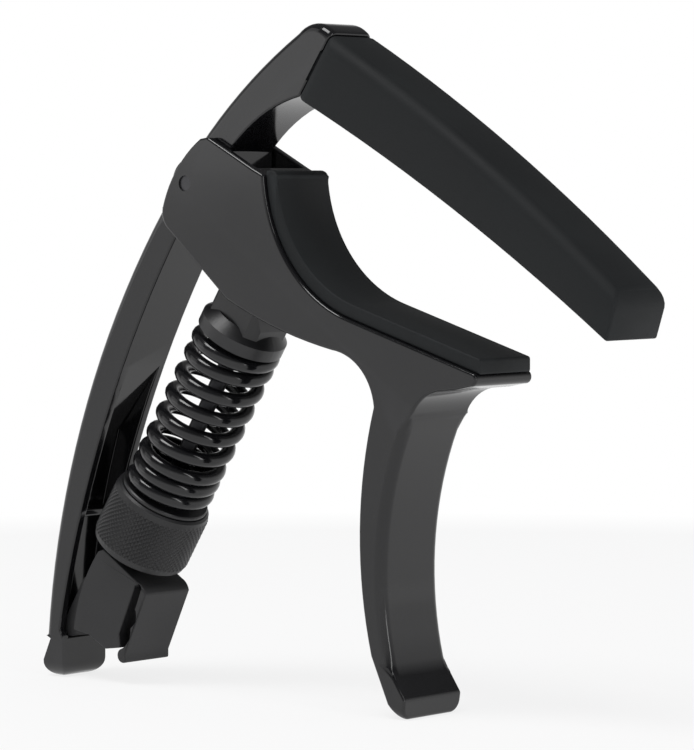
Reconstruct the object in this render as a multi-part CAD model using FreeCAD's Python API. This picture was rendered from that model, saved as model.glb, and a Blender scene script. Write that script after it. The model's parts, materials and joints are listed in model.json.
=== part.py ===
import FreeCAD, Part
import math
import os

# Guitar capo with a coil spring and a tension nut. Millimetres, +Z up, standing on the tips of
# its two handles. The profile lies in the XZ plane, and the widths run along Y about Y = 0.

# Widths along Y
JAW_WIDTH = 12.2
PLATE = 1.4                     # side plates of the jaw, either side of the lever
SIDE_CLEARANCE = 0.2            # each side of the lever between the plates
SLEEVE_WALL = 1.1               # rubber of the string pad beside the bar
NECK_PAD_INSET = 0.6            # each side of the neck pad inside the jaw's faces
LEVER_WALL = 1.4                # side walls of the lever's channel
CHANNEL_CLEARANCE = 0.15        # each side of the tongue in the channel
HOLDER_WIDTH = 9.2

JAW_GAP = JAW_WIDTH - 2 * PLATE
LEVER_WIDTH = JAW_GAP - 2 * SIDE_CLEARANCE
CHANNEL_WIDTH = LEVER_WIDTH - 2 * LEVER_WALL

# Main pivot of the jaw on the lever
PIVOT = (-22.2, 71.6)
PIN_RADIUS = 1.1
PIN_RECESS = 0.25               # ends of the pin below the plates
PIN_RUNNING_FIT = 0.04
BUSH_WALL = 0.9
HUB_RADIUS = 5.4
HUB_CLEARANCE = 0.4
WASHER_LAP = 2.5                # washer beyond the pin
WASHER_THICKNESS = 0.5
WASHER_FIT = 0.03               # each side of a washer
RECESS_CLEARANCE = 0.3          # around a washer
STOP_DROP = 0.5                 # stop face of the lever below the pivot
STOP_GAP = 0.05                 # between the stop faces of lever and jaw

# Lever
FOOT_RADIUS = 1.9               # tip of the lever's foot
FOOT_BACK_X = -51.9
BACK_MIDDLE = (-40.45, 47.65)
BACK_TOP = (-19.65, 78.8)
RISER_MIDDLE = (-11.5, 86.2)
BEND_START = (-3.0, 92.1)
BEND_TOP = (0.0, 93.3)
UNDER_RISER = (-9.2, 80.9)
UNDER_RISER_LOW = (-14.3, 77.0)
STOP_X = -15.1                  # right side of the hub above the stop face
HUB_LOW_ANGLE = -108.0          # where the front of the lever leaves the hub
FRONT_MIDDLE = (-38.1, 40.6)
FRONT_LOW = (-48.7, 7.0)
FOOT_CORNER = 2.4               # corners of the foot, across the width
LEVER_WEB = 1.3
CHANNEL_LOW_Z = 6.0
CHANNEL_HIGH_Z = 36.0         # on the web, where the channel's end starts to slant
CHANNEL_END_SLOPE = 50.0
CHANNEL_CLEAR_X = -25.0         # right of the whole front of the channel
RIB_Z = 24.0
RIB_THICKNESS = 1.1
RIB_HEIGHT = 3.4

# String pad: measured along its underside and square to it, from the end at the bend
PAD_END = (-2.4, 83.4)
PAD_LENGTH = 61.6
PAD_SLOPE = -31.3
PAD_DEPTH = 9.9                 # at the bend
PAD_TIP_DEPTH = 6.2
PAD_RAKE = 0.5                  # lean of the end at the bend
PAD_TIP_RAKE = 1.5
PAD_BOW = 1.3                   # rise of the underside at the middle
PAD_TOP_BOW = 1.5
STRING_RUBBER = 3.0             # rubber under the bar
TOP_RUBBER = 1.3
TIP_RUBBER = 2.8
HOOD = 0.3                      # the bend stands proud of the pad's top

# Jaw and front handle
NECK_CENTRE = (13.85, 73.9)     # axis of the round back of the neck
NECK_RADIUS = 19.5
NECK_PAD_THICKNESS = 2.0
NECK_PAD_TIP_X = 29.8
NECK_PAD_TOP_Z = 73.4
CRADLE_SLOPE = 17.0             # fall of the straight part of the cradle
CRADLE_WALL = 2.0
CRADLE_MIDDLE_ANGLE = 217.0
CRADLE_TOP_ANGLE = 183.0
SHOULDER_Z = 73.7
JAW_CROWN = (-17.9, 78.0)
JAW_CROWN_LEFT = (-19.4, 77.8)
JAW_ROUND_MIDDLE = (-24.2, 73.2)
JAW_ROUND_LOW = (-26.6, 68.2)
JAW_HEEL_MIDDLE = (-26.5, 66.6)
JAW_HEEL = (-25.4, 65.1)
JAW_UNDER_LEFT = (-14.5, 55.6)
JAW_UNDER_MIDDLE = (-5.4, 51.8)
JAW_UNDER_RIGHT = (4.6, 49.1)
HANDLE_ROOT_MIDDLE = (9.9, 46.4)
HANDLE_BACK_TOP = (12.0, 41.7)
HANDLE_BACK_MIDDLE = (9.55, 24.5)
HANDLE_BACK_LOW = (11.6, 8.2)
FOOT_BACK = (14.5, 1.9)
FOOT_BACK_LOW = (16.4, 0.0)
FOOT_FRONT_LOW = (17.2, 0.0)
LIP = (17.6, 2.7)
HANDLE_FRONT_LOW = (15.6, 5.6)
HANDLE_FRONT_MIDDLE = (13.65, 21.5)
HANDLE_FRONT_TOP = (18.3, 40.0)
FRONT_ROOT_MIDDLE = (20.4, 43.0)
FRONT_ROOT = (23.0, 44.2)
TIP_UNDER = (26.0, 44.5)
TIP_LOW = (28.6, 45.0)
JAW_TIP_X = 29.6
JAW_TIP_ROUND = 0.6
JAW_FOOT_CORNER = 1.7
HANDLE_WALL = 1.6               # front wall of the hollow handle
HANDLE_CORE_LOW_Z = 9.5
HANDLE_CORE_X = 4.0             # left of the handle's back, where the core leaves it

# Spring strut: a leaning line, measured along its axis from STRUT_ZERO
STRUT_ZERO = (-19.45, 46.65)
STRUT_ANGLE = 57.7
SPRING_RADIUS = 6.45
WIRE = 2.1
SPRING_TURNS = 7.6
SPRING_LOW = -22.5
SPRING_HIGH = 4.1
SEAT_GAP = 0.05                 # spring to each of its two seats
SPIGOT_HEIGHT = 2.0
SPIGOT_CLEARANCE = 0.25
COLLAR_FLANGE = 0.6
COLLAR_CHAMFER = 0.15
CAP_INSET = 0.1                 # cap inside the spring's outside
CAP_FLANGE = 3.3
CAP_TAPER = 1.5                 # height and depth of the cone at the top of the flange
THREAD_RADIUS = 1.5
THREAD_HIGH = -19.0
THREAD_CHAMFER = 0.25
ROD_RADIUS = 1.2
ROD_HIGH = 8.0
ROD_FIT = 0.05
NUT_LAP = 0.75
NUT_HEIGHT = 9.4
NUT_CHAMFER = 0.6
NUT_GAP = 0.05                  # nut to collar
SOCKET = 15.0                   # the cap's nose turns in the jaw here
NOSE_RADIUS = 2.4
NOSE_CLEARANCE = 0.35
TONGUE_CLEARANCE = 0.35         # each side of the tongue between the plates
TONGUE_INSET = 1.5              # tongue inside the flange
TONGUE_NECK = 0.8               # height of the tongue's straight part
SOCKET_WALL = 3.6               # jaw beside the nose
SOCKET_SPREAD = 75.0            # half the angle that the socket covers
BORE_CAP = 0.8                  # tongue left above the rod's bore

# Pick holder, the foot of the strut
HOLDER_GAP = 1.4                # nut to pick holder
HOLDER_RIGHT = 5.9              # top face, right and left of the strut's axis
HOLDER_LEFT = 2.4
HOLDER_BACK_TOP = (-40.7, 18.9)
HOLDER_BACK_MIDDLE = (-43.6, 14.3)
HOLDER_BACK_LOW = (-45.7, 7.2)
HOLDER_UNDER_LEFT = (-42.7, 6.7)
HOLDER_UNDER_MIDDLE = (-39.4, 4.9)
HOLDER_UNDER_RIGHT = (-36.4, 5.3)
SLOT_WIDTH = 1.3
SLOT_MOUTH = (-36.6, 7.3)
SLOT_TOP = (-33.6, 13.9)
WAVE_HIGH = (-1.2, -2.9)        # crests of the leg's inner side, from the slot's right top
WAVE_LOW = (-2.1, -5.6)
WAVE_DEPTH = 0.6
LEG_OUTSIDE_TOP = (-31.3, 13.2)
HOLDER_CORNER = (-0.35, 0.8)    # middle of the rounded corner, from the top of the leg
LEG_OUTSIDE_LOW = (-35.4, 4.4)
BEAD_RADIUS = 1.05
HEEL = (-48.1, 7.5)             # the strut turns in the lever's foot here
HEEL_RADIUS = 1.6
HEEL_CLEARANCE = 0.05
TONGUE_ROOT = (1.5, 1.0)        # where the heel's tongue joins the holder, from its back
TONGUE_TOP = (-1.6, 0.4)
INSERT_RADIUS = 2.2
INSERT_LENGTH = 5.0
INSERT_DEPTH = 0.4              # insert below the top of the holder

TALL = 120.0                    # above everything, for cuts


def at(place, y=0.0):
    """Point of the profile as a vector."""
    return FreeCAD.Vector(place[0], y, place[1])


def polar(centre, radius, angle):
    """Point at an angle in degrees about a centre of the profile."""
    turn = math.radians(angle)
    return (centre[0] + radius * math.cos(turn), centre[1] + radius * math.sin(turn))


def moved(place, step):
    """Place of the profile moved by a step."""
    return (place[0] + step[0], place[1] + step[1])


def outline(start, *steps):
    """Closed outline: a step of one point is a line, a step of two is an arc through the first."""
    edges = []
    here = start
    for step in steps + ((start,),):
        if len(step) == 2:
            edges.append(Part.Arc(at(here), at(step[0]), at(step[1])).toShape())
        elif here != step[0]:
            edges.append(Part.LineSegment(at(here), at(step[0])).toShape())
        here = step[-1]
    return Part.Wire(edges)


def slab(wire, width):
    """Outline made solid, centred on Y = 0."""
    body = Part.Face(wire).extrude(FreeCAD.Vector(0, width, 0))
    body.translate(FreeCAD.Vector(0, -width / 2, 0))
    return body


def cross_cylinder(centre, radius, length, y=0.0):
    """Cylinder along Y, centred on y."""
    return Part.makeCylinder(radius, length, at(centre, y - length / 2), FreeCAD.Vector(0, 1, 0))


def foot_block(width, corner):
    """Tall block with its two long lower corners rounded, which shapes a foot across its width."""
    block = Part.makeBox(4 * TALL, width, TALL, FreeCAD.Vector(-2 * TALL, -width / 2, 0))
    low = [edge for edge in block.Edges if edge.CenterOfMass.z < 1e-6 and edge.Length > TALL]
    return block.makeFillet(corner, low)


# Frames of the string pad, the cradle and the strut

def pad(distance, depth):
    """Point along the string pad and square to its underside."""
    return polar(polar(PAD_END, distance, PAD_SLOPE), depth, PAD_SLOPE + 90)


def cradle(radius, angle):
    """Point of a curve about the neck."""
    return polar(NECK_CENTRE, radius, angle)


def down_slope(place, x):
    """Point at x on the straight part of the cradle that goes through a place."""
    return (x, place[1] - (x - place[0]) * math.tan(math.radians(CRADLE_SLOPE)))


def along(distance, across=0.0):
    """Point up the strut's axis, and to the right of it."""
    return polar(polar(STRUT_ZERO, distance, STRUT_ANGLE), across, STRUT_ANGLE - 90)


def strut_cylinder(low, high, radius):
    """Round bar on the strut's axis."""
    axis = at(polar((0, 0), 1, STRUT_ANGLE))
    return Part.makeCylinder(radius, high - low, at(along(low)), axis)


def chamfered(body, size, radius):
    """Body with its round edges of one radius chamfered."""
    rims = [edge for edge in body.Edges
            if hasattr(edge.Curve, "Radius") and abs(edge.Curve.Radius - radius) < 1e-6]
    return body.makeChamfer(size, rims)


# Sizes that several pieces share

FLAT_ANGLE = 270 - CRADLE_SLOPE         # where the cradle's curve runs out into its straight part
METAL_RADIUS = NECK_RADIUS + NECK_PAD_THICKNESS
WALL_RADIUS = METAL_RADIUS + CRADLE_WALL
WALL_X = NECK_CENTRE[0] - WALL_RADIUS
STOP_Z = PIVOT[1] - STOP_DROP
BUSH_RADIUS = PIN_RADIUS + BUSH_WALL
WASHER_RADIUS = PIN_RADIUS + WASHER_LAP
RECESS_DEPTH = WASHER_THICKNESS + 2 * WASHER_FIT - SIDE_CLEARANCE
CAP_RADIUS = SPRING_RADIUS - CAP_INSET
NUT_RADIUS = SPRING_RADIUS + NUT_LAP
SPIGOT_RADIUS = SPRING_RADIUS - WIRE - SPIGOT_CLEARANCE
NUT_HIGH = SPRING_LOW - COLLAR_FLANGE - NUT_GAP
NUT_LOW = NUT_HIGH - NUT_HEIGHT
HOLDER_HIGH = NUT_LOW - HOLDER_GAP
INSERT_HIGH = HOLDER_HIGH - INSERT_DEPTH
INSERT_LOW = INSERT_HIGH - INSERT_LENGTH


def bar_outline():
    """Bar inside the string pad."""
    middle = PAD_LENGTH / 2
    tip = PAD_LENGTH - TIP_RUBBER
    top_middle = (PAD_DEPTH + PAD_TIP_DEPTH) / 2 + PAD_TOP_BOW - TOP_RUBBER
    return outline(
        pad(0, STRING_RUBBER),
        (pad(middle, STRING_RUBBER + PAD_BOW), pad(tip, STRING_RUBBER)),
        (pad(tip - PAD_TIP_RAKE / 2, PAD_TIP_DEPTH - TOP_RUBBER),),
        (pad(middle, top_middle), pad(PAD_RAKE, PAD_DEPTH - TOP_RUBBER)),
    )


def back_circle():
    """Centre and radius of the lever's back."""
    back = Part.Arc(at((FOOT_BACK_X, FOOT_RADIUS)), at(BACK_MIDDLE), at(BACK_TOP)).toShape().Curve
    return back.Center, back.Radius


def lever_back_x(inside, z):
    """X of a line a distance inside the lever's back, at a height."""
    centre, radius = back_circle()
    return centre.x - math.sqrt((radius - inside) ** 2 - (z - centre.z) ** 2)


def hub_circle_point(radius):
    """Point of a circle about the pivot at the height of the stop face."""
    return polar(PIVOT, radius, -math.degrees(math.asin(STOP_DROP / radius)))


def lever_outline():
    """Lever from its foot to the bend, without the bar."""
    front_x = FOOT_BACK_X + 2 * FOOT_RADIUS
    return outline(
        (FOOT_BACK_X, FOOT_RADIUS),
        ((FOOT_BACK_X + FOOT_RADIUS, 0.0), (front_x, FOOT_RADIUS)),
        ((front_x, CHANNEL_LOW_Z),),
        (FRONT_LOW,),
        (FRONT_MIDDLE, polar(PIVOT, HUB_RADIUS, HUB_LOW_ANGLE)),
        (polar(PIVOT, HUB_RADIUS, HUB_LOW_ANGLE / 2), hub_circle_point(HUB_RADIUS)),
        ((STOP_X, STOP_Z),),
        ((STOP_X, UNDER_RISER_LOW[1] - (UNDER_RISER_LOW[0] - STOP_X)),),
        (UNDER_RISER_LOW,),
        (UNDER_RISER, pad(0, 0)),
        (pad(PAD_RAKE, PAD_DEPTH + HOOD),),
        (BEND_TOP, BEND_START),
        (RISER_MIDDLE, BACK_TOP),
        (BACK_MIDDLE, (FOOT_BACK_X, FOOT_RADIUS)),
    )


def lever_channel():
    """Space of the lever's open channel."""
    low = (lever_back_x(LEVER_WEB, CHANNEL_LOW_Z), CHANNEL_LOW_Z)
    high = (lever_back_x(LEVER_WEB, CHANNEL_HIGH_Z), CHANNEL_HIGH_Z)
    middle_z = (CHANNEL_LOW_Z + CHANNEL_HIGH_Z) / 2
    middle = (lever_back_x(LEVER_WEB, middle_z), middle_z)
    end_rise = (CHANNEL_CLEAR_X - high[0]) * math.tan(math.radians(CHANNEL_END_SLOPE))
    wire = outline(
        low,
        ((CHANNEL_CLEAR_X, CHANNEL_LOW_Z),),
        ((CHANNEL_CLEAR_X, CHANNEL_HIGH_Z + end_rise),),
        (high,),
        (middle, low),
    )
    return slab(wire, CHANNEL_WIDTH)


def channel_rib():
    """Small rib across the channel."""
    left = lever_back_x(LEVER_WEB / 2, RIB_Z)
    right = lever_back_x(0, RIB_Z) + RIB_HEIGHT
    width = CHANNEL_WIDTH + LEVER_WALL
    corner = FreeCAD.Vector(left, -width / 2, RIB_Z - RIB_THICKNESS / 2)
    return Part.makeBox(right - left, width, RIB_THICKNESS, corner)


def washer_recess(side):
    """Round recess for a washer in one side of the hub."""
    y = side * LEVER_WIDTH / 2
    return cross_cylinder(PIVOT, WASHER_RADIUS + RECESS_CLEARANCE, 2 * RECESS_DEPTH, y)


def make_lever():
    """Cast lever: bar, riser, hub and channel-shaped handle."""
    body = slab(lever_outline(), LEVER_WIDTH)
    body = body.common(foot_block(LEVER_WIDTH, FOOT_CORNER))
    body = body.cut(lever_channel())
    body = body.fuse(channel_rib())
    body = body.cut(cross_cylinder(HEEL, HEEL_RADIUS + HEEL_CLEARANCE, CHANNEL_WIDTH))
    body = body.fuse(slab(bar_outline(), LEVER_WIDTH))
    body = body.cut(cross_cylinder(PIVOT, BUSH_RADIUS, LEVER_WIDTH + 2))
    for side in (-1, 1):
        body = body.cut(washer_recess(side))
    return body.removeSplitter()


def make_string_pad():
    """Rubber sleeve over the bar, closed at its tip."""
    middle = PAD_LENGTH / 2
    wire = outline(
        pad(0, 0),
        (pad(middle, PAD_BOW), pad(PAD_LENGTH, 0)),
        (pad(PAD_LENGTH - PAD_TIP_RAKE, PAD_TIP_DEPTH),),
        (pad(middle, (PAD_DEPTH + PAD_TIP_DEPTH) / 2 + PAD_TOP_BOW), pad(PAD_RAKE, PAD_DEPTH)),
    )
    sleeve = slab(wire, LEVER_WIDTH + 2 * SLEEVE_WALL)
    return sleeve.cut(slab(bar_outline(), LEVER_WIDTH))


def jaw_outline():
    """Jaw and front handle from the side."""
    flat = cradle(METAL_RADIUS, FLAT_ANGLE)
    tip = down_slope(flat, JAW_TIP_X - JAW_TIP_ROUND)
    tip_front = (JAW_TIP_X, (TIP_LOW[1] + tip[1]) / 2)
    return outline(
        JAW_HEEL,
        (JAW_UNDER_LEFT,),
        (JAW_UNDER_MIDDLE, JAW_UNDER_RIGHT),
        (HANDLE_ROOT_MIDDLE, HANDLE_BACK_TOP),
        (HANDLE_BACK_MIDDLE, HANDLE_BACK_LOW),
        (FOOT_BACK,),
        (FOOT_BACK_LOW,),
        (FOOT_FRONT_LOW,),
        (LIP,),
        (HANDLE_FRONT_LOW,),
        (HANDLE_FRONT_MIDDLE, HANDLE_FRONT_TOP),
        (FRONT_ROOT_MIDDLE, FRONT_ROOT),
        (TIP_UNDER,),
        (TIP_LOW,),
        (tip_front, tip),
        (flat,),
        (cradle(METAL_RADIUS, CRADLE_MIDDLE_ANGLE), cradle(METAL_RADIUS, CRADLE_TOP_ANGLE)),
        ((WALL_X, SHOULDER_Z),),
        (JAW_CROWN,),
        (JAW_CROWN_LEFT,),
        (JAW_ROUND_MIDDLE, JAW_ROUND_LOW),
        (JAW_HEEL_MIDDLE, JAW_HEEL),
    )


def jaw_core():
    """Space between the plates of the jaw and behind the front of its handle."""
    web_z = STOP_Z - STOP_GAP
    clear = HUB_RADIUS + HUB_CLEARANCE
    web_start = polar(PIVOT, clear, math.degrees(math.asin((web_z - PIVOT[1]) / clear)))
    socket = along(SOCKET)
    hollow = NOSE_RADIUS + NOSE_CLEARANCE
    flat = cradle(WALL_RADIUS, FLAT_ANGLE)
    inside = (-HANDLE_WALL, 0.0)
    front_top = moved(HANDLE_FRONT_TOP, inside)
    left_x = FOOT_BACK_X
    below_z = JAW_UNDER_RIGHT[1] - 6
    wire = outline(
        (WALL_X, TALL),
        ((WALL_X, web_z),),
        (web_start,),
        (polar(PIVOT, clear, -38.0), polar(PIVOT, clear, -70.0)),
        (polar(socket, hollow + SOCKET_WALL, STRUT_ANGLE + 92),),
        (polar(socket, hollow, STRUT_ANGLE + SOCKET_SPREAD),),
        (polar(socket, hollow, STRUT_ANGLE), polar(socket, hollow, STRUT_ANGLE - SOCKET_SPREAD)),
        (cradle(WALL_RADIUS, 226.0),),
        (cradle(WALL_RADIUS, 240.0), flat),
        (down_slope(flat, front_top[0] - HANDLE_WALL),),
        (front_top,),
        (moved(HANDLE_FRONT_MIDDLE, inside), (HANDLE_FRONT_LOW[0] - 1.5 * HANDLE_WALL, HANDLE_CORE_LOW_Z)),
        ((HANDLE_CORE_X, HANDLE_CORE_LOW_Z),),
        ((HANDLE_CORE_X, below_z),),
        ((left_x, below_z),),
        ((left_x, TALL),),
    )
    return slab(wire, JAW_GAP)


def make_jaw():
    """Cast jaw: fork, cradle and channel-shaped front handle."""
    body = slab(jaw_outline(), JAW_WIDTH)
    body = body.common(foot_block(JAW_WIDTH, JAW_FOOT_CORNER))
    body = body.cut(jaw_core())
    body = body.cut(cross_cylinder(PIVOT, PIN_RADIUS, JAW_WIDTH + 2))
    return body.removeSplitter()


def make_neck_pad():
    """Rubber pad that lies in the cradle."""
    inner = cradle(NECK_RADIUS, FLAT_ANGLE)
    outer = cradle(METAL_RADIUS, FLAT_ANGLE)
    wire = outline(
        (NECK_CENTRE[0] - METAL_RADIUS, NECK_PAD_TOP_Z),
        (cradle(METAL_RADIUS, CRADLE_MIDDLE_ANGLE), outer),
        (down_slope(outer, NECK_PAD_TIP_X),),
        (down_slope(inner, NECK_PAD_TIP_X),),
        (inner,),
        (cradle(NECK_RADIUS, CRADLE_MIDDLE_ANGLE), (NECK_CENTRE[0] - NECK_RADIUS, NECK_PAD_TOP_Z)),
    )
    return slab(wire, JAW_WIDTH - 2 * NECK_PAD_INSET)


def make_pivot_pin():
    """Pin pressed into both plates of the jaw."""
    return cross_cylinder(PIVOT, PIN_RADIUS, JAW_WIDTH - 2 * PIN_RECESS)


def make_pivot_bush():
    """Bush pressed into the lever, in which the pin turns."""
    length = LEVER_WIDTH - 2 * RECESS_DEPTH
    outer = cross_cylinder(PIVOT, BUSH_RADIUS, length)
    return outer.cut(cross_cylinder(PIVOT, PIN_RADIUS + PIN_RUNNING_FIT, length + 2))


def make_washer(side):
    """Thin washer between the hub and a plate of the jaw."""
    y = side * (JAW_GAP / 2 - WASHER_FIT - WASHER_THICKNESS / 2)
    outer = cross_cylinder(PIVOT, WASHER_RADIUS, WASHER_THICKNESS, y)
    return outer.cut(cross_cylinder(PIVOT, PIN_RADIUS + PIN_RUNNING_FIT, WASHER_THICKNESS + 2, y))


def cap_tongue():
    """Tongue of the spring cap, which ends in the round nose."""
    half = CAP_RADIUS - TONGUE_INSET
    root = SPRING_HIGH + CAP_FLANGE
    wire = outline(
        along(root - TONGUE_NECK, -half),
        (along(root - TONGUE_NECK, half),),
        (along(root + TONGUE_NECK, half),),
        (along(SOCKET, NOSE_RADIUS),),
        (along(SOCKET + NOSE_RADIUS), along(SOCKET, -NOSE_RADIUS)),
        (along(root + TONGUE_NECK, -half),),
    )
    tongue = slab(wire, JAW_GAP - 2 * TONGUE_CLEARANCE)
    return tongue.common(strut_cylinder(SPRING_HIGH, SOCKET + 2 * NOSE_RADIUS, CAP_RADIUS - TONGUE_INSET / 2))


def make_spring_cap():
    """Upper seat of the spring, with the tongue that goes up into the jaw."""
    cone_low = SPRING_HIGH + CAP_FLANGE - CAP_TAPER
    axis = at(polar((0, 0), 1, STRUT_ANGLE))
    body = strut_cylinder(SPRING_HIGH, cone_low, CAP_RADIUS)
    body = body.fuse(Part.makeCone(CAP_RADIUS, CAP_RADIUS - CAP_TAPER, CAP_TAPER, at(along(cone_low)), axis))
    low = SPRING_HIGH - SPIGOT_HEIGHT
    body = body.fuse(strut_cylinder(low, SPRING_HIGH + 1, SPIGOT_RADIUS))
    body = body.fuse(cap_tongue())
    bore = strut_cylinder(low - 1, SOCKET - BORE_CAP, ROD_RADIUS + ROD_FIT)
    return body.cut(bore).removeSplitter()


def make_main_spring():
    """Compression spring between collar and cap."""
    low = SPRING_LOW + SEAT_GAP + WIRE / 2
    high = SPRING_HIGH - SEAT_GAP - WIRE / 2
    mean = SPRING_RADIUS - WIRE / 2
    path = Part.Wire(Part.makeHelix((high - low) / SPRING_TURNS, high - low, mean))
    section = Part.makeCircle(WIRE / 2, FreeCAD.Vector(mean, 0, 0), FreeCAD.Vector(0, 1, 0))
    coil = path.makePipeShell([Part.Wire([section])], True, True)
    lean = FreeCAD.Rotation(FreeCAD.Vector(0, 1, 0), 90 - STRUT_ANGLE)
    coil.Placement = FreeCAD.Placement(at(along(low)), lean)
    return coil


def make_guide_rod():
    """Rod: threaded below, plain and thinner above."""
    thread = chamfered(strut_cylinder(INSERT_LOW, THREAD_HIGH, THREAD_RADIUS), THREAD_CHAMFER, THREAD_RADIUS)
    return thread.fuse(strut_cylinder(THREAD_HIGH - 1, ROD_HIGH, ROD_RADIUS)).removeSplitter()


def make_rod_insert():
    """Metal insert that holds the rod in the pick holder."""
    outer = strut_cylinder(INSERT_LOW, INSERT_HIGH, INSERT_RADIUS)
    return outer.cut(strut_cylinder(INSERT_LOW - 1, INSERT_HIGH + 1, THREAD_RADIUS))


def make_spring_collar():
    """Lower seat of the spring, which rides up the thread on the nut."""
    flange = strut_cylinder(SPRING_LOW - COLLAR_FLANGE, SPRING_LOW, SPRING_RADIUS)
    body = chamfered(flange, COLLAR_CHAMFER, SPRING_RADIUS)
    high = SPRING_LOW + SPIGOT_HEIGHT
    body = body.fuse(strut_cylinder(SPRING_LOW - COLLAR_FLANGE / 2, high, SPIGOT_RADIUS))
    return body.cut(strut_cylinder(NUT_HIGH, high + 1, THREAD_RADIUS + ROD_FIT))


def make_tension_nut():
    """Nut turned by hand to set the spring."""
    body = chamfered(strut_cylinder(NUT_LOW, NUT_HIGH, NUT_RADIUS), NUT_CHAMFER, NUT_RADIUS)
    return body.cut(strut_cylinder(NUT_LOW - 1, NUT_HIGH + 1, THREAD_RADIUS + ROD_FIT))


def holder_outline():
    """Pick holder from the side, with its slot open below and waves on the leg's inner side."""
    slot_right = moved(SLOT_TOP, (SLOT_WIDTH, 0.0))
    slot_middle = moved(SLOT_TOP, (SLOT_WIDTH / 2, SLOT_WIDTH / 2))
    high = moved(slot_right, WAVE_HIGH)
    low = moved(slot_right, WAVE_LOW)
    bead = moved(LEG_OUTSIDE_LOW, (-BEAD_RADIUS / 2, -BEAD_RADIUS / 5))
    bead_top = polar(bead, BEAD_RADIUS, 100)
    upper_wave = ((high[0] + low[0]) / 2 + WAVE_DEPTH, (high[1] + low[1]) / 2)
    lower_wave = ((low[0] + bead_top[0]) / 2 + WAVE_DEPTH, (low[1] + bead_top[1]) / 2)
    return outline(
        along(HOLDER_HIGH, -HOLDER_LEFT),
        (HOLDER_BACK_TOP,),
        (HOLDER_BACK_MIDDLE, HOLDER_BACK_LOW),
        (HOLDER_UNDER_LEFT,),
        (HOLDER_UNDER_MIDDLE,),
        (HOLDER_UNDER_RIGHT,),
        (SLOT_MOUTH,),
        (SLOT_TOP,),
        (slot_middle, slot_right),
        (high,),
        (upper_wave, low),
        (lower_wave, bead_top),
        (polar(bead, BEAD_RADIUS, 200), polar(bead, BEAD_RADIUS, 300)),
        (LEG_OUTSIDE_LOW,),
        (LEG_OUTSIDE_TOP,),
        (moved(LEG_OUTSIDE_TOP, HOLDER_CORNER), along(HOLDER_HIGH, HOLDER_RIGHT)),
    )


def heel_tongue():
    """Tongue at the back of the pick holder, which ends in the round heel."""
    wire = outline(
        polar(HEEL, HEEL_RADIUS, 115),
        (polar(HEEL, HEEL_RADIUS, 200), polar(HEEL, HEEL_RADIUS, 290)),
        (HOLDER_UNDER_LEFT,),
        (moved(HOLDER_BACK_MIDDLE, TONGUE_ROOT),),
        (moved(HOLDER_BACK_MIDDLE, TONGUE_TOP),),
    )
    return slab(wire, CHANNEL_WIDTH - 2 * CHANNEL_CLEARANCE)


def make_pick_holder():
    """Plastic pick holder, the foot of the strut."""
    body = slab(holder_outline(), HOLDER_WIDTH).fuse(heel_tongue()).removeSplitter()
    return body.cut(strut_cylinder(INSERT_LOW, HOLDER_HIGH + 1, INSERT_RADIUS))


NODES = {
    "lever_casting": make_lever,
    "string_pad": make_string_pad,
    "pivot_bush": make_pivot_bush,
    "jaw_casting": make_jaw,
    "neck_pad": make_neck_pad,
    "pivot_pin": make_pivot_pin,
    "near_washer": lambda: make_washer(-1),
    "far_washer": lambda: make_washer(1),
    "spring_cap": make_spring_cap,
    "main_spring": make_main_spring,
    "guide_rod": make_guide_rod,
    "rod_insert": make_rod_insert,
    "spring_collar": make_spring_collar,
    "tension_nut": make_tension_nut,
    "pick_holder": make_pick_holder,
}


def main():
    """Build every node and write it."""
    os.makedirs("parts", exist_ok=True)
    for name, make in NODES.items():
        shape = make()
        print(name, len(shape.Solids), round(shape.Volume, 1), shape.isValid())
        shape.exportStep("parts/" + name + ".step")


main()
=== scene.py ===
import json
import math

import bmesh
import bpy
from mathutils import Matrix, Vector


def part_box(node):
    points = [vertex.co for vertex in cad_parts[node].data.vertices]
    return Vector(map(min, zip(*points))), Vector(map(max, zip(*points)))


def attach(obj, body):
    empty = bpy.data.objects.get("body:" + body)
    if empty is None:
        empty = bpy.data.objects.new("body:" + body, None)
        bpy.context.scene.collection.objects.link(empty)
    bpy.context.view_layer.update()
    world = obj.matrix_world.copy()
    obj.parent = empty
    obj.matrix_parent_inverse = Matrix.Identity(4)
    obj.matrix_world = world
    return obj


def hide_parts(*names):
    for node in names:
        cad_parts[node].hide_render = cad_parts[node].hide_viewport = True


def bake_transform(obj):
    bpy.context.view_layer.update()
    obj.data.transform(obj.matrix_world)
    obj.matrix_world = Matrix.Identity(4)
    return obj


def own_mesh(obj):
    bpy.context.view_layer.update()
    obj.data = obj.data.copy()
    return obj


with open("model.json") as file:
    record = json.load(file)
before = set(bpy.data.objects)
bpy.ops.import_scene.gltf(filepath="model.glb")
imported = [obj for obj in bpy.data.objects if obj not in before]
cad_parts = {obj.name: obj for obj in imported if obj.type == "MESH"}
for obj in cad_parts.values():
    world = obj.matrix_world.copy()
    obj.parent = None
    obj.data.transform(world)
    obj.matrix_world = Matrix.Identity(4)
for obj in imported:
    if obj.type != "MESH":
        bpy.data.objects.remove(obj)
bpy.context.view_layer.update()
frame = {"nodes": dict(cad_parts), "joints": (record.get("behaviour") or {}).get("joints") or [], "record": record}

# A guitar capo standing on the tips of its two handles. Metres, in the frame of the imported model.

MM = 0.001


# Places and sizes read from the frame

def joint(name):
    """Joint of the record by its name."""
    return next(entry for entry in frame["joints"] if entry["name"] == name)


PIVOT = Vector(joint("jaw_hinge")["pos_m"])
STRUT_AXIS = Vector(joint("nut_turn")["axis"]).normalized()
STRUT_FOOT = Vector(joint("nut_turn")["pos_m"])


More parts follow.
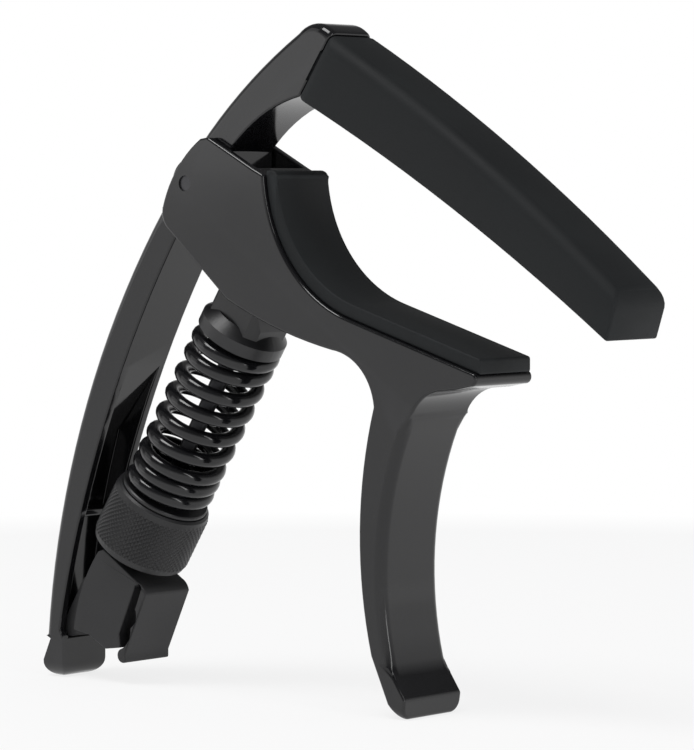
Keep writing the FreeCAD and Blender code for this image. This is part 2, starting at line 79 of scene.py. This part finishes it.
def strut_span(node):
    """Lowest and highest point of a node along the strut's axis, and its radius about it."""
    low, high, radius = 1.0, -1.0, 0.0
    for vertex in frame["nodes"][node].data.vertices:
        offset = vertex.co - STRUT_FOOT
        height = offset.dot(STRUT_AXIS)
        low = min(low, height)
        high = max(high, height)
        radius = max(radius, (offset - STRUT_AXIS * height).length)
    return low, high, radius


def strut_matrix(height):
    """Places a mesh made along +Z on the strut's axis, at a height."""
    turn = STRUT_AXIS.to_track_quat("Z", "Y").to_matrix().to_4x4()
    return Matrix.Translation(STRUT_FOOT + STRUT_AXIS * height) @ turn


# Shader groups shared by several finishes

def new_group(name, inputs, outputs):
    """Empty shader group with named sockets. Inputs are (name, kind, default) and outputs (name, kind)."""
    group = bpy.data.node_groups.new(name, "ShaderNodeTree")
    for label, kind, default in inputs:
        socket = group.interface.new_socket(name=label, in_out="INPUT", socket_type=kind)
        if default is not None:
            socket.default_value = default
    for label, kind in outputs:
        group.interface.new_socket(name=label, in_out="OUTPUT", socket_type=kind)
    entry = group.nodes.new("NodeGroupInput")
    leave = group.nodes.new("NodeGroupOutput")
    return group, entry, leave


def math_node(group, operation, first, second):
    """Math node whose two inputs are sockets or plain numbers."""
    node = group.nodes.new("ShaderNodeMath")
    node.operation = operation
    for index, value in enumerate((first, second)):
        if isinstance(value, (int, float)):
            node.inputs[index].default_value = value
        else:
            group.links.new(value, node.inputs[index])
    return node.outputs[0]


def ramp_between(group, value, low, high):
    """Value spread from 0 at low to 1 at high."""
    node = group.nodes.new("ShaderNodeMapRange")
    node.inputs["From Min"].default_value = low
    node.inputs["From Max"].default_value = high
    group.links.new(value, node.inputs["Value"])
    return node.outputs["Result"]


SMUDGE_RAMP = (0.35, 0.7)       # noise values between which a smudge fades in
SPECK_RAMP = (0.62, 0.72)       # noise values between which a speck fades in
EDGE_RAMP = (0.52, 0.6)         # pointiness between which a convex edge fades in
EDGE_NOISE_SCALE = 400.0
EDGE_PALER = 2.5                # how much paler than the pale colour a worn edge is


def surface_detail_group():
    """Fine grain, larger waviness and smudges, all from Object coordinates."""
    float_kind = "NodeSocketFloat"
    group, entry, leave = new_group(
        "surface_detail",
        (("Vector", "NodeSocketVector", None), ("Grain Scale", float_kind, 3000.0),
         ("Wave Scale", float_kind, 200.0), ("Smudge Scale", float_kind, 60.0),
         ("Wave Share", float_kind, 0.3)),
        (("Height", float_kind), ("Smudge", float_kind), ("Speck", float_kind)))
    noises = {}
    for label, detail in (("Grain Scale", 2.0), ("Wave Scale", 2.0), ("Smudge Scale", 5.0)):
        noise = group.nodes.new("ShaderNodeTexNoise")
        noise.inputs["Detail"].default_value = detail
        group.links.new(entry.outputs["Vector"], noise.inputs["Vector"])
        group.links.new(entry.outputs[label], noise.inputs["Scale"])
        noises[label] = noise.outputs["Fac"]
    wave = math_node(group, "MULTIPLY", noises["Wave Scale"], entry.outputs["Wave Share"])
    height = math_node(group, "ADD", noises["Grain Scale"], wave)
    group.links.new(height, leave.inputs["Height"])
    group.links.new(ramp_between(group, noises["Smudge Scale"], *SMUDGE_RAMP), leave.inputs["Smudge"])
    group.links.new(ramp_between(group, noises["Grain Scale"], *SPECK_RAMP), leave.inputs["Speck"])
    return group


def edge_group():
    """Mask of the convex edges, broken up by noise."""
    float_kind = "NodeSocketFloat"
    group, entry, leave = new_group(
        "edge_mask",
        (("Vector", "NodeSocketVector", None), ("Low", float_kind, EDGE_RAMP[0]),
         ("High", float_kind, EDGE_RAMP[1])),
        (("Mask", float_kind),))
    geometry = group.nodes.new("ShaderNodeNewGeometry")
    noise = group.nodes.new("ShaderNodeTexNoise")
    noise.inputs["Scale"].default_value = EDGE_NOISE_SCALE
    group.links.new(entry.outputs["Vector"], noise.inputs["Vector"])
    spread = group.nodes.new("ShaderNodeMapRange")
    group.links.new(geometry.outputs["Pointiness"], spread.inputs["Value"])
    group.links.new(entry.outputs["Low"], spread.inputs["From Min"])
    group.links.new(entry.outputs["High"], spread.inputs["From Max"])
    mask = math_node(group, "MULTIPLY", spread.outputs["Result"], noise.outputs["Fac"])
    group.links.new(mask, leave.inputs["Mask"])
    return group


DETAIL = surface_detail_group()
EDGES = edge_group()


def finish_material(name, dark, pale, rough, rough_range, bump, distance, **sizes):
    """Procedural finish: colour between dark and pale, roughness that varies, fine bump, paler edges.

    sizes may set grain, wave, wave_share, metallic, specular and edge."""
    material = bpy.data.materials.new(name)
    material.use_nodes = True
    tree = material.node_tree
    shader = tree.nodes["Principled BSDF"]
    place = tree.nodes.new("ShaderNodeTexCoord")
    detail = tree.nodes.new("ShaderNodeGroup")
    detail.node_tree = DETAIL
    detail.inputs["Grain Scale"].default_value = sizes.get("grain", 3000.0)
    detail.inputs["Wave Scale"].default_value = sizes.get("wave", 200.0)
    detail.inputs["Wave Share"].default_value = sizes.get("wave_share", 0.3)
    tree.links.new(place.outputs["Object"], detail.inputs["Vector"])
    edges = tree.nodes.new("ShaderNodeGroup")
    edges.node_tree = EDGES
    tree.links.new(place.outputs["Object"], edges.inputs["Vector"])

    blotch = tree.nodes.new("ShaderNodeMix")
    blotch.data_type = "RGBA"
    blotch.inputs["A"].default_value = (*dark, 1.0)
    blotch.inputs["B"].default_value = (*pale, 1.0)
    tree.links.new(detail.outputs["Smudge"], blotch.inputs["Factor"])
    worn = tree.nodes.new("ShaderNodeMix")
    worn.data_type = "RGBA"
    share = math_node(tree, "MULTIPLY", edges.outputs["Mask"], sizes.get("edge", 0.5))
    tree.links.new(share, worn.inputs["Factor"])
    tree.links.new(blotch.outputs["Result"], worn.inputs["A"])
    worn.inputs["B"].default_value = (*[min(1.0, EDGE_PALER * part) for part in pale], 1.0)
    tree.links.new(worn.outputs["Result"], shader.inputs["Base Color"])

    roughness = math_node(tree, "MULTIPLY", detail.outputs["Smudge"], rough_range)
    roughness = math_node(tree, "ADD", roughness, rough)
    speck = math_node(tree, "MULTIPLY", detail.outputs["Speck"], rough_range)
    tree.links.new(math_node(tree, "ADD", roughness, speck), shader.inputs["Roughness"])

    relief = tree.nodes.new("ShaderNodeBump")
    relief.inputs["Strength"].default_value = bump
    relief.inputs["Distance"].default_value = distance
    tree.links.new(detail.outputs["Height"], relief.inputs["Height"])
    tree.links.new(relief.outputs["Normal"], shader.inputs["Normal"])
    shader.inputs["Metallic"].default_value = sizes.get("metallic", 0.0)
    shader.inputs["Specular IOR Level"].default_value = sizes.get("specular", 0.5)
    return material


def make_materials():
    """Every finish of the capo, by the record's slot."""
    return {
        "black_coat": finish_material(
            "black_coat", (0.006, 0.006, 0.007), (0.010, 0.010, 0.011), 0.08, 0.05, 0.03, 0.00002,
            grain=2200.0, wave=350.0, wave_share=0.8, specular=0.5),
        "rubber": finish_material(
            "rubber", (0.009, 0.010, 0.011), (0.013, 0.015, 0.016), 0.58, 0.12, 0.25, 0.00003,
            grain=6000.0, wave=900.0, specular=0.25, edge=0.6),
        "spring_black": finish_material(
            "spring_black", (0.005, 0.005, 0.006), (0.009, 0.009, 0.010), 0.10, 0.06, 0.05, 0.00002,
            grain=4000.0, specular=0.5),
        "nut_black": finish_material(
            "nut_black", (0.007, 0.007, 0.008), (0.013, 0.013, 0.014), 0.36, 0.12, 0.2, 0.00002,
            grain=5000.0, specular=0.5),
        "satin_black": finish_material(
            "satin_black", (0.007, 0.007, 0.008), (0.012, 0.012, 0.013), 0.3, 0.1, 0.15, 0.00002,
            grain=5000.0, specular=0.5),
        "moulded_plastic": finish_material(
            "moulded_plastic", (0.010, 0.010, 0.011), (0.016, 0.016, 0.017), 0.45, 0.12, 0.35, 0.00004,
            grain=4500.0, wave=1200.0, wave_share=0.5, specular=0.45, edge=0.6),
        "dark_steel": finish_material(
            "dark_steel", (0.03, 0.03, 0.033), (0.05, 0.05, 0.053), 0.28, 0.1, 0.15, 0.00002,
            metallic=0.9, specular=0.5),
        "bronze": finish_material(
            "bronze", (0.30, 0.19, 0.07), (0.42, 0.28, 0.12), 0.3, 0.1, 0.15, 0.00002, metallic=1.0),
        "washer_plastic": finish_material(
            "washer_plastic", (0.02, 0.02, 0.02), (0.03, 0.03, 0.03), 0.5, 0.1, 0.15, 0.00002),
    }


MATERIALS = make_materials()


# Pieces

MERGE_DISTANCE = 0.001 * MM
FLAT_ANGLE = math.radians(0.5)  # triangles that turn by less are merged into one face
SIDE_DEPTH = 0.05 * MM          # an edge this near the outermost point lies on an outer side


def add_piece(name, mesh_data, slot, body, *nodes):
    """New piece with a finish, riding on a body and standing for some CAD nodes."""
    piece = bpy.data.objects.new(name, mesh_data)
    bpy.context.scene.collection.objects.link(piece)
    piece.data.materials.clear()
    piece.data.materials.append(MATERIALS[slot])
    if body:
        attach(piece, body)
    if nodes:
        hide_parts(*nodes)
    return piece


def to_mesh(bm, name, sharp_angle=40.0):
    """Mesh from a bmesh, smooth apart from edges sharper than an angle."""
    bmesh.ops.recalc_face_normals(bm, faces=bm.faces)
    for face in bm.faces:
        face.smooth = True
    limit = math.radians(sharp_angle)
    for edge in bm.edges:
        edge.smooth = edge.is_manifold and edge.calc_face_angle(0.0) < limit
    data = bpy.data.meshes.new(name)
    bm.to_mesh(data)
    bm.free()
    return data


def node_copy(node):
    """A node's mesh with its triangles merged into flat faces."""
    bm = bmesh.new()
    bm.from_mesh(frame["nodes"][node].data)
    bmesh.ops.remove_doubles(bm, verts=bm.verts, dist=MERGE_DISTANCE)
    bmesh.ops.dissolve_limit(
        bm, angle_limit=FLAT_ANGLE, verts=bm.verts, edges=bm.edges, delimit=set())
    return bm


def sharp_edges(bm, angle=35.0):
    """Edges that turn by more than an angle."""
    return [edge for edge in bm.edges
            if edge.is_manifold and edge.calc_face_angle(0.0) > math.radians(angle)]


def side_edges(bm, chosen):
    """Edges of the two outer sides that pass a test on their middle and the normal beyond the side."""
    bm.normal_update()
    outer = max(abs(vert.co.y) for vert in bm.verts) - SIDE_DEPTH
    found = []
    for edge in sharp_edges(bm):
        middle = (edge.verts[0].co + edge.verts[1].co) / 2
        beyond = min((face.normal for face in edge.link_faces), key=lambda normal: abs(normal.y))
        if abs(middle.y) > outer and chosen(middle, beyond):
            found.append(edge)
    return found


def bevel(bm, edges, width, segments=3):
    """Rounds some edges."""
    bmesh.ops.bevel(
        bm, geom=edges, offset=width, offset_type="OFFSET", segments=segments, profile=0.5,
        affect="EDGES", material=-1, clamp_overlap=False)


def even_shading(piece):
    """Lets the large flat faces set the shading, not the narrow ones beside them."""
    weighted = piece.modifiers.new("even_shading", "WEIGHTED_NORMAL")
    weighted.keep_sharp = True


HANDLE_LOW = 5.7 * MM           # the broad round on the jaw's handle lies between these heights
HANDLE_TOP = 39.9 * MM
HUB_AREA = 6 * MM               # around the pivot, where the lever's edges keep their fine round
PIN_HOLE_AREA = 2 * MM          # around the pivot, where the jaw's edges stay sharp
FOOT_TOP = 2.5 * MM             # below this the lever's foot keeps its own rounding
BEND_END_X = 3.6 * MM           # the broad round on the lever's back ends here, above the bend
HANDLE_ROUND = 1.4 * MM
JAW_ROUND = 0.4 * MM
LEVER_BACK_ROUND = 1.3 * MM
LEVER_ROUND = 0.3 * MM
STRING_PAD_TOP_ROUND = 2.0 * MM
STRING_PAD_ROUND = 0.4 * MM
NECK_PAD_TOP_ROUND = 1.1 * MM
NECK_PAD_ROUND = 0.35 * MM
HOLDER_ROUND = 0.2 * MM
END_DEPTH = 0.1 * MM            # an edge this near a pad's end or top lies on it
NECK_PAD_LIP = 1 * MM           # the neck pad's outer edge, which keeps its fine round


def pivot_distance(place):
    """Distance from the pivot's axis."""
    return math.hypot(place.x - PIVOT.x, place.z - PIVOT.z)


def make_jaw_piece():
    """Jaw with a broad round on the front of its handle and fine ones elsewhere."""
    bm = node_copy("jaw_casting")
    front = side_edges(bm, lambda place, beyond: beyond.x > 0.5 and HANDLE_LOW < place.z < HANDLE_TOP)
    bevel(bm, front, HANDLE_ROUND, 6)
    fine = [edge for edge in sharp_edges(bm) if pivot_distance(edge.verts[0].co) > PIN_HOLE_AREA]
    bevel(bm, fine, JAW_ROUND, 4)
    piece = add_piece("jaw", to_mesh(bm, "jaw"), "black_coat", "jaw", "jaw_casting")
    even_shading(piece)


def above_foot(edges):
    """Edges that lie wholly above the rounded foot."""
    return [edge for edge in edges if min(vert.co.z for vert in edge.verts) > FOOT_TOP]


def make_lever_piece():
    """Lever with a broad round along its back and fine ones elsewhere."""
    bm = node_copy("lever_casting")

    def on_back(place, beyond):
        outward = beyond.x < -0.35 or beyond.z > 0.6
        return outward and pivot_distance(place) > HUB_AREA and place.x < BEND_END_X

    bevel(bm, above_foot(side_edges(bm, on_back)), LEVER_BACK_ROUND, 6)
    bevel(bm, above_foot(sharp_edges(bm)), LEVER_ROUND, 3)
    piece = add_piece("lever", to_mesh(bm, "lever"), "black_coat", "lever", "lever_casting")
    even_shading(piece)


def make_string_pad_piece():
    """Rubber sleeve with soft upper edges."""
    bm = node_copy("string_pad")
    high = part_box("string_pad")[1]
    end = [edge for edge in sharp_edges(bm)
           if min(vert.co.x for vert in edge.verts) > high.x - END_DEPTH]
    top = side_edges(bm, lambda place, beyond: beyond.z > 0.3)
    bevel(bm, top + end, STRING_PAD_TOP_ROUND, 6)
    bevel(bm, sharp_edges(bm), STRING_PAD_ROUND, 3)
    piece = add_piece("string_sleeve", to_mesh(bm, "string_sleeve"), "rubber", "lever", "string_pad")


def make_neck_pad_piece():
    """Rubber pad of the cradle."""
    bm = node_copy("neck_pad")
    low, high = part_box("neck_pad")
    inner_top = [edge for edge in sharp_edges(bm)
                 if all(vert.co.z > high.z - END_DEPTH and vert.co.x > low.x + NECK_PAD_LIP
                        for vert in edge.verts)]
    bevel(bm, inner_top, NECK_PAD_TOP_ROUND, 5)
    bevel(bm, sharp_edges(bm), NECK_PAD_ROUND, 3)
    piece = add_piece("cradle_pad", to_mesh(bm, "cradle_pad"), "rubber", "jaw", "neck_pad")


def make_holder_piece():
    """Moulded pick holder."""
    bm = node_copy("pick_holder")
    bevel(bm, sharp_edges(bm), HOLDER_ROUND, 3)
    piece = add_piece("holder", to_mesh(bm, "holder"), "moulded_plastic", "strut", "pick_holder")
    even_shading(piece)


WIRE = 2.1 * MM                 # thickness of the spring's wire
CLOSED_TURNS = 2.5              # turns that lie on each other at the spring's lower end
TOP_CLOSED_TURNS = 1.0
ACTIVE_TURNS = 5.0              # open turns, in both pieces of the spring
LOWER_ACTIVE_TURNS = 2.0        # those in the lower piece of the spring
STEPS_PER_TURN = 36
SPRING_START = math.radians(130)


def spring_mesh(turns_and_pitches, radius, start_angle, low):
    """Wire swept up a helix whose pitch changes by stretches, made along +Z."""
    bm = bmesh.new()
    ring = bmesh.ops.create_circle(bm, cap_ends=True, radius=WIRE / 2, segments=16)
    upright = Matrix.Rotation(math.radians(90), 4, "X")
    out = Matrix.Translation((radius, 0, low + WIRE / 2))
    turn = Matrix.Rotation(start_angle, 4, "Z")
    bmesh.ops.transform(bm, matrix=turn @ out @ upright, verts=ring["verts"])
    end = bm.faces[:] + bm.edges[:] + bm.verts[:]
    for turns, pitch in turns_and_pitches:
        steps = max(1, round(turns * STEPS_PER_TURN))
        swept = bmesh.ops.spin(
            bm, geom=end, cent=(0, 0, 0), axis=(0, 0, 1), dvec=(0, 0, pitch / STEPS_PER_TURN),
            angle=math.tau * steps / STEPS_PER_TURN, steps=steps, use_merge=False)
        end = swept["geom_last"]
    bmesh.ops.remove_doubles(bm, verts=bm.verts, dist=MERGE_DISTANCE)
    return bm


def make_spring_pieces():
    """Spring in two pieces: the lower one is not attached to any body, the upper one rides on the strut."""
    low, high, outer = strut_span("main_spring")
    mean = outer - WIRE / 2
    closed = CLOSED_TURNS + TOP_CLOSED_TURNS
    free = (high - low) - WIRE * (1 + closed)
    pitch = free / ACTIVE_TURNS
    lower = spring_mesh(
        ((CLOSED_TURNS, WIRE), (LOWER_ACTIVE_TURNS, pitch)), mean, SPRING_START, 0.0)
    upper_low = CLOSED_TURNS * WIRE + LOWER_ACTIVE_TURNS * pitch
    upper_start = SPRING_START + math.tau * (CLOSED_TURNS + LOWER_ACTIVE_TURNS)
    upper = spring_mesh(
        ((ACTIVE_TURNS - LOWER_ACTIVE_TURNS, pitch), (TOP_CLOSED_TURNS, WIRE)),
        mean, upper_start, upper_low)
    place = strut_matrix(low)
    for name, bm in (("spring_lower", lower), ("spring_upper", upper)):
        bmesh.ops.transform(bm, matrix=place, verts=bm.verts)
        data = to_mesh(bm, name, 60.0)
        if name == "spring_lower":
            piece = add_piece(name, data, "spring_black", None, "main_spring")
            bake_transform(piece)
        else:
            piece = add_piece(name, data, "spring_black", "strut", "main_spring")
            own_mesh(piece)


KNURL_POINTS = 110              # around the nut: every second one is a point of the knurl
KNURL_ROWS = 20
KNURL_DEPTH = 0.18 * MM
KNURL_MARGIN = 0.7 * MM         # plain rim above and below the knurl
NUT_CLEARANCE = 0.06 * MM       # between the rod and the nut
NUT_FLAT_INSET = 0.45 * MM      # the nut's flat ends stop this far inside its rim
NUT_SHOULDER = (0.1 * MM, 0.25 * MM)    # inset and height of the corner between end and rim


def make_nut_piece():
    """Tension nut with a diamond knurl."""
    low, high, radius = strut_span("tension_nut")
    bore = strut_span("guide_rod")[2] + NUT_CLEARANCE
    rim = radius - KNURL_DEPTH
    height = high - low
    bm = bmesh.new()
    knurled = height - 2 * KNURL_MARGIN
    inset, shoulder = NUT_SHOULDER
    profile = [(bore, 0.0), (rim - NUT_FLAT_INSET, 0.0), (rim - inset, shoulder)]
    profile += [(rim, KNURL_MARGIN + knurled * row / KNURL_ROWS) for row in range(KNURL_ROWS + 1)]
    profile += [(rim - inset, height - shoulder), (rim - NUT_FLAT_INSET, height), (bore, height)]
    verts = [bm.verts.new((across, 0, up)) for across, up in profile]
    edges = [bm.edges.new(pair) for pair in zip(verts, verts[1:] + verts[:1])]
    bmesh.ops.spin(
        bm, geom=verts + edges, cent=(0, 0, 0), axis=(0, 0, 1), angle=math.tau,
        steps=KNURL_POINTS, use_merge=True)
    bmesh.ops.remove_doubles(bm, verts=bm.verts, dist=MERGE_DISTANCE)
    step = math.tau / KNURL_POINTS
    raised = set()
    for vert in bm.verts:
        across = math.hypot(vert.co.x, vert.co.y)
        row = (vert.co.z - KNURL_MARGIN) / knurled * KNURL_ROWS
        inside = 0.5 < row < KNURL_ROWS - 0.5 and across > rim - 0.01 * MM
        column = round(math.atan2(vert.co.y, vert.co.x) / step)
        if inside and (column + round(row)) % 2 == 0:
            raised.add(vert)
    for vert in raised:
        out = Vector((vert.co.x, vert.co.y, 0)).normalized()
        vert.co += out * KNURL_DEPTH
    for face in bm.faces[:]:
        lower = [vert for vert in face.verts if vert not in raised]
        if len(face.verts) == 4 and len(lower) == 2:
            bmesh.utils.face_split(face, *lower)
    bmesh.ops.transform(bm, matrix=strut_matrix(low), verts=bm.verts)
    add_piece("knurled_nut", to_mesh(bm, "knurled_nut", 18.0), "nut_black", "nut", "tension_nut")


# Camera, lights and floor

CAMERA_AZIMUTH = 40.4           # degrees round from the front
CAMERA_HEIGHT = 2.94            # degrees above the horizon
CAMERA_PLACE = (0.33006, -0.38507, 0.07143)
LENS = 177.94
SENSOR = 36.0


def make_camera():
    """Camera at the side of the front handle, almost level."""
    turn, rise = math.radians(CAMERA_AZIMUTH), math.radians(CAMERA_HEIGHT)
    back = Vector((math.sin(turn) * math.cos(rise), -math.cos(turn) * math.cos(rise), math.sin(rise)))
    data = bpy.data.cameras.new("camera")
    data.lens = LENS
    data.sensor_width = SENSOR
    data.clip_start = 0.01
    camera = bpy.data.objects.new("camera", data)
    camera.location = CAMERA_PLACE
    camera.rotation_euler = (-back).to_track_quat("-Z", "Y").to_euler()
    bpy.context.scene.collection.objects.link(camera)
    bpy.context.scene.camera = camera


def area_light(name, place, target, width, height, power):
    """Soft rectangular lamp aimed at a point."""
    data = bpy.data.lights.new(name, "AREA")
    data.shape = "RECTANGLE"
    data.size = width
    data.size_y = height
    data.energy = power
    lamp = bpy.data.objects.new(name, data)
    lamp.location = place
    lamp.rotation_euler = (Vector(target) - Vector(place)).to_track_quat("-Z", "Y").to_euler()
    bpy.context.scene.collection.objects.link(lamp)


LAMP_TARGET = (0.0, 0.0, 0.05)
# Name, place, width, height and power of each lamp.
LAMPS = (
    ("top_lamp", (-0.05, -0.25, 0.7), 0.3, 0.3, 2.2),
    ("left_lamp", (-0.55, -0.45, 0.35), 0.35, 0.6, 0.42),
    ("right_lamp", (0.75, -0.1, 0.35), 0.12, 0.6, 1.0))


def make_lights():
    """Large soft lamps above, to the left and to the right."""
    for name, place, width, height, power in LAMPS:
        area_light(name, place, LAMP_TARGET, width, height, power)


WHITE_FROM = 0.08               # the floor fades to the white of the background from here
WHITE_AT = 0.3                  # and is all white here
WHITE_SHARE = 0.8               # white of the floor beside the shadow under the capo
FLOOR_RADIUS = 12.0
GLOW_FROM = 0.45                # height on the sky at which reflections are dark
GLOW_AT = 0.1                   # and that at which they are at their whitest
GLOW_SHARE = 0.85               # how white they are there


def make_floor():
    """Pale floor that fades into the white background away from the capo."""
    bm = bmesh.new()
    bmesh.ops.create_circle(bm, cap_ends=True, radius=FLOOR_RADIUS, segments=96)
    data = bpy.data.meshes.new("floor")
    bm.to_mesh(data)
    bm.free()
    floor = bpy.data.objects.new("floor", data)
    bpy.context.scene.collection.objects.link(floor)
    material = bpy.data.materials.new("floor")
    material.use_nodes = True
    tree = material.node_tree
    shader = tree.nodes["Principled BSDF"]
    shader.inputs["Base Color"].default_value = (0.9, 0.9, 0.9, 1)
    shader.inputs["Roughness"].default_value = 0.9
    shader.inputs["Specular IOR Level"].default_value = 0.1
    white = tree.nodes.new("ShaderNodeEmission")
    white.inputs["Strength"].default_value = 1.0
    place = tree.nodes.new("ShaderNodeTexCoord")
    length = tree.nodes.new("ShaderNodeVectorMath")
    length.operation = "LENGTH"
    tree.links.new(place.outputs["Object"], length.inputs[0])
    far = ramp_between(tree, length.outputs["Value"], WHITE_FROM, WHITE_AT)
    pale = math_node(tree, "MAXIMUM", far, WHITE_SHARE)
    light_path = tree.nodes.new("ShaderNodeLightPath")
    rays = light_path.outputs
    seen = math_node(tree, "MAXIMUM", rays["Is Camera Ray"], rays["Is Glossy Ray"])
    seen = math_node(tree, "MAXIMUM", seen, rays["Is Transmission Ray"])
    mix = tree.nodes.new("ShaderNodeMixShader")
    tree.links.new(math_node(tree, "MULTIPLY", pale, seen), mix.inputs["Fac"])
    tree.links.new(shader.outputs["BSDF"], mix.inputs[1])
    tree.links.new(white.outputs["Emission"], mix.inputs[2])
    tree.links.new(mix.outputs["Shader"], tree.nodes["Material Output"].inputs["Surface"])
    floor.data.materials.append(material)


def make_world():
    """White background with a plain grey light; reflections show white low down and dark above."""
    world = bpy.data.worlds.new("studio")
    bpy.context.scene.world = world
    world.use_nodes = True
    tree = world.node_tree
    plain = tree.nodes["Background"]
    plain.inputs["Color"].default_value = (0.45, 0.45, 0.46, 1)
    dark = tree.nodes.new("ShaderNodeBackground")
    dark.inputs["Color"].default_value = (0.12, 0.12, 0.12, 1)
    white = tree.nodes.new("ShaderNodeBackground")
    white.inputs["Color"].default_value = (1, 1, 1, 1)
    light_path = tree.nodes.new("ShaderNodeLightPath")
    rays = light_path.outputs
    mirror = math_node(tree, "MAXIMUM", rays["Is Glossy Ray"], rays["Is Transmission Ray"])
    place = tree.nodes.new("ShaderNodeTexCoord")
    parts = tree.nodes.new("ShaderNodeSeparateXYZ")
    tree.links.new(place.outputs["Generated"], parts.inputs["Vector"])
    level = ramp_between(tree, parts.outputs["Z"], GLOW_FROM, GLOW_AT)
    reflected = math_node(tree, "MULTIPLY", math_node(tree, "MULTIPLY", mirror, level), GLOW_SHARE)
    unlit = tree.nodes.new("ShaderNodeMixShader")
    tree.links.new(mirror, unlit.inputs["Fac"])
    tree.links.new(plain.outputs["Background"], unlit.inputs[1])
    tree.links.new(dark.outputs["Background"], unlit.inputs[2])
    seen = math_node(tree, "MAXIMUM", rays["Is Camera Ray"], reflected)
    mix = tree.nodes.new("ShaderNodeMixShader")
    tree.links.new(seen, mix.inputs["Fac"])
    tree.links.new(unlit.outputs["Shader"], mix.inputs[1])
    tree.links.new(white.outputs["Background"], mix.inputs[2])
    tree.links.new(mix.outputs["Shader"], tree.nodes["World Output"].inputs["Surface"])


def finish_cad_nodes():
    """Gives each CAD node that stays in view its finish."""
    slots = {entry["node"]: entry["material_slot"] for entry in frame["record"]["subparts"]}
    for name, node in frame["nodes"].items():
        node.data.materials.clear()
        node.data.materials.append(MATERIALS[slots[name]])


make_camera()
finish_cad_nodes()
make_jaw_piece()
make_lever_piece()
make_string_pad_piece()
make_neck_pad_piece()
make_holder_piece()
make_spring_pieces()
make_nut_piece()
make_lights()
make_floor()
make_world()
bpy.context.scene.view_settings.view_transform = "Standard"
